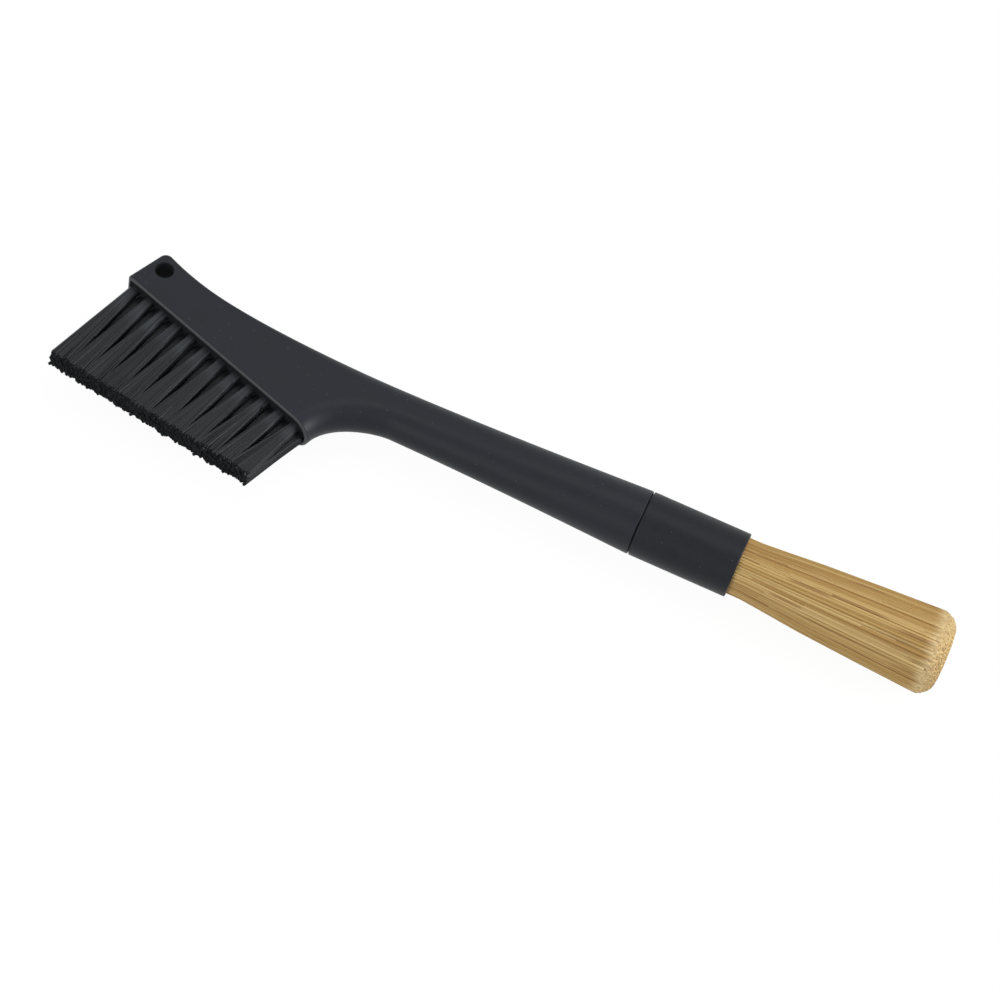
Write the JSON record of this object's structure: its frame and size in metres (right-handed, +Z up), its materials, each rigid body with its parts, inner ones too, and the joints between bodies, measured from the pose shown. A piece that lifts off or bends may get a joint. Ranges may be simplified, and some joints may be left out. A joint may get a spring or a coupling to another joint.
{
  "type": "coffee grinder brush",
  "caption": "Double-ended coffee grinder brush: a black handle with a slanted flat head of stiff nylon tufts at one end and a round natural bristle brush in a collar at the other.",
  "frame": {"origin": "centre of the bottom of the part's box, lying on its side", "axes": "+X along the grip's axis to the natural bristles, +Y to the back edge of the flat head, +Z up through the head's thickness"},
  "size_m": [0.2466, 0.0516, 0.0229],
  "materials": {
    "black_plastic": "satin moulded",
    "black_nylon": "drawn filament",
    "natural_bristle": "natural hair",
    "cured_resin": "cast",
    "staple_wire": "flattened wire"
  },
  "bodies": {
    "root": {"handle": "black_plastic", "collar": "black_plastic", "resin_plug": "cured_resin", "natural_bristles": "natural_bristle", "front_tuft_1": "black_nylon", "front_tuft_2": "black_nylon", "front_tuft_3": "black_nylon", "front_tuft_4": "black_nylon", "front_tuft_5": "black_nylon", "front_tuft_6": "black_nylon", "front_tuft_7": "black_nylon", "front_tuft_8": "black_nylon", "front_tuft_9": "black_nylon", "front_tuft_10": "black_nylon", "front_tuft_11": "black_nylon", "front_tuft_12": "black_nylon", "back_tuft_1": "black_nylon", "back_tuft_2": "black_nylon", "back_tuft_3": "black_nylon", "back_tuft_4": "black_nylon", "back_tuft_5": "black_nylon", "back_tuft_6": "black_nylon", "back_tuft_7": "black_nylon", "back_tuft_8": "black_nylon", "back_tuft_9": "black_nylon", "back_tuft_10": "black_nylon", "back_tuft_11": "black_nylon", "back_tuft_12": "black_nylon", "front_staple_1": "staple_wire", "front_staple_2": "staple_wire", "front_staple_3": "staple_wire", "front_staple_4": "staple_wire", "front_staple_5": "staple_wire", "front_staple_6": "staple_wire", "front_staple_7": "staple_wire", "front_staple_8": "staple_wire", "front_staple_9": "staple_wire", "front_staple_10": "staple_wire", "front_staple_11": "staple_wire", "front_staple_12": "staple_wire", "back_staple_1": "staple_wire", "back_staple_2": "staple_wire", "back_staple_3": "staple_wire", "back_staple_4": "staple_wire", "back_staple_5": "staple_wire", "back_staple_6": "staple_wire", "back_staple_7": "staple_wire", "back_staple_8": "staple_wire", "back_staple_9": "staple_wire", "back_staple_10": "staple_wire", "back_staple_11": "staple_wire", "back_staple_12": "staple_wire"}
  },
  "joints": []
}
